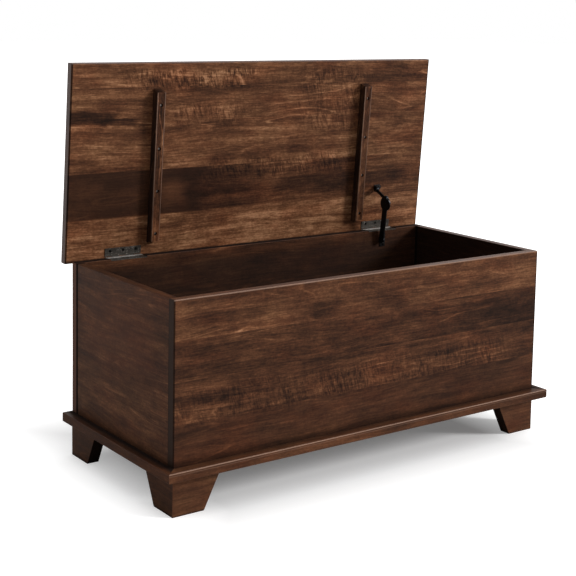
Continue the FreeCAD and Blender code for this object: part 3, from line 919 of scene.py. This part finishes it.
def screw_tree(head):
    """Sets a turned, scaled screw head on every point of the given mesh."""
    tree = bpy.data.node_groups.new("screw_rows", "GeometryNodeTree")
    face = tree.interface
    face.new_socket("Places", in_out="INPUT", socket_type="NodeSocketGeometry")
    size = face.new_socket("Head size", in_out="INPUT", socket_type="NodeSocketFloat")
    seed = face.new_socket("Seed", in_out="INPUT", socket_type="NodeSocketInt")
    finish = face.new_socket("Metal", in_out="INPUT", socket_type="NodeSocketMaterial")
    face.new_socket("Screws", in_out="OUTPUT", socket_type="NodeSocketGeometry")
    given = node(tree, "NodeGroupInput")
    result = node(tree, "NodeGroupOutput")
    source = node(tree, "GeometryNodeObjectInfo")
    source.inputs["Object"].default_value = head

    # each head faces along its point's aim and is turned about it by chance
    aim = node(tree, "GeometryNodeInputNamedAttribute", data_type="FLOAT_VECTOR")
    aim.inputs["Name"].default_value = "aim"
    align = node(tree, "FunctionNodeAlignRotationToVector", axis="Z")
    join(tree, aim.outputs[0], align.inputs["Vector"])
    spin = node(tree, "FunctionNodeRandomValue", data_type="FLOAT")
    spin.inputs[RANDOM_MAX].default_value = 2 * math.pi
    join(tree, given.outputs["Seed"], spin.inputs["Seed"])
    about = node(tree, "FunctionNodeAxisAngleToRotation")
    about.inputs["Axis"].default_value = (0, 0, 1)
    join(tree, spin.outputs[RANDOM_FLOAT], about.inputs["Angle"])
    turned = node(tree, "FunctionNodeRotateRotation", rotation_space="LOCAL")
    join(tree, align.outputs[0], turned.inputs[0])
    join(tree, about.outputs[0], turned.inputs[1])

    place = node(tree, "GeometryNodeInstanceOnPoints")
    join(tree, given.outputs["Places"], place.inputs["Points"])
    join(tree, source.outputs["Geometry"], place.inputs["Instance"])
    join(tree, turned.outputs[0], place.inputs["Rotation"])
    join(tree, given.outputs["Head size"], place.inputs["Scale"])
    real = node(tree, "GeometryNodeRealizeInstances")
    join(tree, place.outputs[0], real.inputs[0])
    coat = node(tree, "GeometryNodeSetMaterial")
    join(tree, real.outputs[0], coat.inputs["Geometry"])
    join(tree, given.outputs["Metal"], coat.inputs["Material"])
    join(tree, coat.outputs[0], result.inputs[0])
    return tree, {"size": size.identifier, "seed": seed.identifier, "metal": finish.identifier}


HEAD = screw_head()
SCREW_TREE, SCREW_SOCKETS = screw_tree(HEAD)


def screws(name, body, rows, size, seed, finish=SCREW_METAL):
    """rows are (place of the seat, direction that the head faces) pairs."""
    points = bpy.data.meshes.new(name + "_places")
    points.from_pydata([tuple(place) for place, _ in rows], [], [])
    aims = points.attributes.new("aim", "FLOAT_VECTOR", "POINT")
    for item, (_, direction) in zip(aims.data, rows):
        item.vector = direction
    source = mesh_object(name + "_places", points)
    modifier = source.modifiers.new("screws", "NODES")
    modifier.node_group = SCREW_TREE
    modifier[SCREW_SOCKETS["size"]] = size
    modifier[SCREW_SOCKETS["seed"]] = seed
    modifier[SCREW_SOCKETS["metal"]] = finish
    piece = settled(source, name)
    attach(piece, body)


# ---------------------------------------------------------------- battens and their screws

BATTEN_BORE_HEIGHTS = (0.060, 0.168, 0.275, 0.383)
BATTEN_BORE_RADIUS = 0.0046
BATTEN_BORE_DEPTH = 0.0042
BATTEN_SCREW = 0.0062
# how far the ends lean back over the batten's thickness, and how far off the lid they start
END_SLOPE = 0.0065
SLOPE_START = 0.0004


def slope_ends(mesh, x):
    """Cuts both ends back towards the face, so that they slope off the lid."""
    form = merged_form(mesh)
    along = [(vertex.co - LID_ORIGIN).dot(LID_UP) for vertex in form.verts]
    lean = math.atan2(END_SLOPE, BATTEN_PROUD)
    for end, away in ((max(along), 1), (min(along), -1)):
        cut = bmesh.ops.bisect_plane(
            form,
            geom=[*form.verts, *form.edges, *form.faces],
            plane_co=on_lid(x, end, SLOPE_START),
            plane_no=LID_UP * away * math.cos(lean) + LID_OUT * math.sin(lean),
            clear_outer=True,
        )
        rim = [item for item in cut["geom_cut"] if isinstance(item, bmesh.types.BMEdge)]
        bmesh.ops.contextual_create(form, geom=rim)
    bmesh.ops.recalc_face_normals(form, faces=form.faces)
    write_form(form, mesh)


def batten(side):
    node_name = "batten_" + side
    x = middle_x(node_name)
    floor = BATTEN_PROUD - BATTEN_BORE_DEPTH
    places = [on_lid(x, height, floor) for height in BATTEN_BORE_HEIGHTS]
    piece = bored(node_name, places, LID_OUT, BATTEN_BORE_RADIUS, BATTEN_BORE_DEPTH)
    slope_ends(piece.data, x)
    stand_in(piece, node_name, "lid", BATTEN_WOOD)
    rows = [(place, LID_OUT) for place in places]
    name = "batten_screws_" + side
    screws(name, "lid", rows, BATTEN_SCREW, 3, BRIGHT_SCREW_METAL)


# ---------------------------------------------------------------- hinge leaves and their screws

LEAF_SCREW_STEPS = (-0.0355, 0.0, 0.0355)
LEAF_SCREW = 0.0072
LEAF_BORE_RADIUS = 0.0039
LEAF_BORE_DEPTH = 0.0013
# up the lid from its back edge, and in from the back of the box
LID_LEAF_SCREW_HEIGHT = 0.0215
BOX_LEAF_SCREW_INSET = 0.0120
LID_LEAF_FLOOR = LEAF_THICK - LEAF_BORE_DEPTH
BOX_LEAF_FLOOR = HINGE.z + AXIS_TO_LID - LEAF_THICK - LEAF_GAP - LEAF_BORE_DEPTH


def bored_leaf(node_name, body, places, axis, seed):
    """A hinge leaf with sunk screws that clear the other leaf when the lid is down."""
    piece = bored(node_name, places, axis, LEAF_BORE_RADIUS, LEAF_BORE_DEPTH)
    stand_in(piece, node_name, body, HINGE_METAL)
    rows = [(place, axis) for place in places]
    name = node_name.replace("leaf", "screws")
    screws(name, body, rows, LEAF_SCREW, seed)


def hinge_leaves(side):
    lid_leaf = "hinge_lid_leaf_" + side
    across = [middle_x(lid_leaf) + step for step in LEAF_SCREW_STEPS]
    lid_places = [on_lid(x, LID_LEAF_SCREW_HEIGHT, LID_LEAF_FLOOR) for x in across]
    bored_leaf(lid_leaf, "lid", lid_places, LID_OUT, 5)
    box_places = [Vector((x, BACK_Y - BOX_LEAF_SCREW_INSET, BOX_LEAF_FLOOR)) for x in across]
    bored_leaf("hinge_box_leaf_" + side, "box", box_places, Vector((0, 0, 1)), 7)


# ---------------------------------------------------------------- the stay's screws

LID_BRACKET_SCREW = 0.0085
LID_BRACKET_SCREW_INSET = 0.008
LID_BRACKET_SCREW_HEIGHT = 0.125
BOX_BRACKET_SCREW = 0.0080
BOX_BRACKET_SCREW_INSET = 0.007
BOX_BRACKET_SCREW_STEPS = (-0.013, 0.013)


def stay_screws():
    """One screw in the bracket on the lid and two in the bracket on the back board."""
    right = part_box("stay_lid_bracket")[1][0]
    seat = on_lid(right - LID_BRACKET_SCREW_INSET, LID_BRACKET_SCREW_HEIGHT, BRACKET_THICK)
    screws("stay_lid_screw", "lid", [(seat, LID_OUT)], LID_BRACKET_SCREW, 9)
    low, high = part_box("stay_box_bracket")
    x = high[0] - BOX_BRACKET_SCREW_INSET
    y = BACK_Y - PANEL - BRACKET_THICK
    middle = (low[2] + high[2]) / 2
    forward = Vector((0, -1, 0))
    rows = [(Vector((x, y, middle + step)), forward) for step in BOX_BRACKET_SCREW_STEPS]
    screws("stay_box_screws", "box", rows, BOX_BRACKET_SCREW, 11)


for side in ("left", "right"):
    batten(side)
    hinge_leaves(side)
stay_screws()
bpy.data.objects.remove(HEAD)

# ---------------------------------------------------------------- camera

PICTURE_PIXELS = 576
SENSOR = 36.0
LENS_PIXELS = 1292.02
SHIFT_PIXELS = -130.0
# degrees: to the right of straight ahead, above level, and round the line of sight
CAMERA_AZIMUTH = 36.06
CAMERA_ELEVATION = -6.69
CAMERA_ROLL = 1.09
# from the floor under the middle of the box's front
CAMERA_LEFT = 1.93150
CAMERA_FORWARD = 2.29461
CAMERA_UP = 1.09754


def aim_camera():
    """A long lens, a little above the lid, looking across the front left corner."""
    data = bpy.data.cameras.new("camera")
    camera = bpy.data.objects.new("camera", data)
    bpy.context.scene.collection.objects.link(camera)
    data.sensor_width = SENSOR
    data.sensor_fit = "HORIZONTAL"
    data.lens = LENS_PIXELS / PICTURE_PIXELS * SENSOR
    data.shift_y = SHIFT_PIXELS / PICTURE_PIXELS
    data.clip_end = 60.0
    azimuth = math.radians(CAMERA_AZIMUTH)
    elevation = math.radians(CAMERA_ELEVATION)
    roll = math.radians(CAMERA_ROLL)
    ahead = Vector(
        (
            math.sin(azimuth) * math.cos(elevation),
            math.cos(azimuth) * math.cos(elevation),
            math.sin(elevation),
        )
    )
    right = Vector((math.cos(azimuth), -math.sin(azimuth), 0))
    up = right.cross(ahead)
    leaned_right = right * math.cos(roll) + up * math.sin(roll)
    leaned_up = up * math.cos(roll) - right * math.sin(roll)
    place = Vector((-CAMERA_LEFT, FRONT_Y - CAMERA_FORWARD, CAMERA_UP))
    turn = Matrix((leaned_right, leaned_up, -ahead)).transposed().to_4x4()
    camera.matrix_world = Matrix.Translation(place) @ turn
    bpy.context.scene.camera = camera


aim_camera()

# ---------------------------------------------------------------- floor, backdrop and light

FLOOR_REACH = 30.0
FLOOR_GREY = (0.8, 0.8, 0.8, 1)
# painted light: the floor's glow, which only the camera sees, is weak under the chest and strong in
# the open, so that it washes the floor's shadow out away from the chest
GLOW_UNDER_CHEST = 0.145
GLOW_IN_THE_OPEN = 0.70
# distances from the middle over which the glow rises
GLOW_RISE = {
    "X": (HALF_BASE - 0.16, HALF_BASE + 0.06),
    "Y": (-BASE_FRONT, -BASE_FRONT + 0.28),
}
SURROUND_LIGHT = 0.31


def floor_glow(tree):
    """Painted light: the sheet glows whiter the further it is from under the chest."""
    where = node(tree, "ShaderNodeTexCoord")
    axes = axes_of(tree, where.outputs["Object"])
    strength = 0.0
    for axis, (near, far) in GLOW_RISE.items():
        away = math_node(tree, "ABSOLUTE", axes[axis])
        part = spread(tree, away, near, far, GLOW_UNDER_CHEST, GLOW_IN_THE_OPEN)
        strength = math_node(tree, "MAXIMUM", strength, part)
    glow = node(tree, "ShaderNodeEmission")
    glow.inputs["Color"].default_value = WHITE
    join(tree, strength, glow.inputs["Strength"])
    return glow


def floor_white():
    """Pale and matt, with a painted glow that only the camera sees."""
    material = bpy.data.materials.new("floor_white")
    material.use_nodes = True
    tree = material.node_tree
    tree.nodes.clear()
    out = node(tree, "ShaderNodeOutputMaterial")
    plain = node(tree, "ShaderNodeBsdfDiffuse")
    plain.inputs["Color"].default_value = FLOOR_GREY
    both = node(tree, "ShaderNodeAddShader")
    join(tree, plain.outputs[0], both.inputs[0])
    join(tree, floor_glow(tree).outputs[0], both.inputs[1])
    path = node(tree, "ShaderNodeLightPath")
    seen = pick_shader(tree, path.outputs["Is Camera Ray"], plain, both)
    join(tree, seen, out.inputs[0])
    return material


def pale_floor():
    mesh = bpy.data.meshes.new("floor")
    corners = [(x * FLOOR_REACH, y * FLOOR_REACH, 0) for x, y in ((-1, -1), (1, -1), (1, 1), (-1, 1))]
    mesh.from_pydata(corners, [], [(0, 1, 2, 3)])
    mesh.materials.append(floor_white())
    mesh_object("floor", mesh)


def white_sky(tree, strength):
    made = node(tree, "ShaderNodeBackground")
    made.inputs["Color"].default_value = WHITE
    made.inputs["Strength"].default_value = strength
    return made


def white_surround():
    """White to the eye and in reflections, and dimmer as a light."""
    world = bpy.data.worlds.new("surround")
    bpy.context.scene.world = world
    world.use_nodes = True
    tree = world.node_tree
    tree.nodes.clear()
    out = node(tree, "ShaderNodeOutputWorld")
    path = node(tree, "ShaderNodeLightPath")
    seen = path.outputs["Is Camera Ray"]
    for kind in ("Is Glossy Ray", "Is Transmission Ray"):
        seen = math_node(tree, "MAXIMUM", seen, path.outputs[kind])
    sky = pick_shader(tree, seen, white_sky(tree, SURROUND_LIGHT), white_sky(tree, 1.0))
    join(tree, sky, out.inputs[0])


def soft_lamp(name, direction, strength, width):
    """A broad far lamp that shines along a direction and looks width degrees wide."""
    data = bpy.data.lights.new(name, "SUN")
    data.energy = strength
    data.angle = math.radians(width)
    lamp = bpy.data.objects.new(name, data)
    bpy.context.scene.collection.objects.link(lamp)
    lamp.rotation_euler = Vector(direction).to_track_quat("-Z", "Y").to_euler()


pale_floor()
white_surround()
soft_lamp("key_lamp", (-0.90, 0.72, -0.50), 2.75, 16)
soft_lamp("top_lamp", (-0.15, 0.10, -1.0), 1.25, 70)
bpy.context.scene.view_settings.view_transform = "Standard"
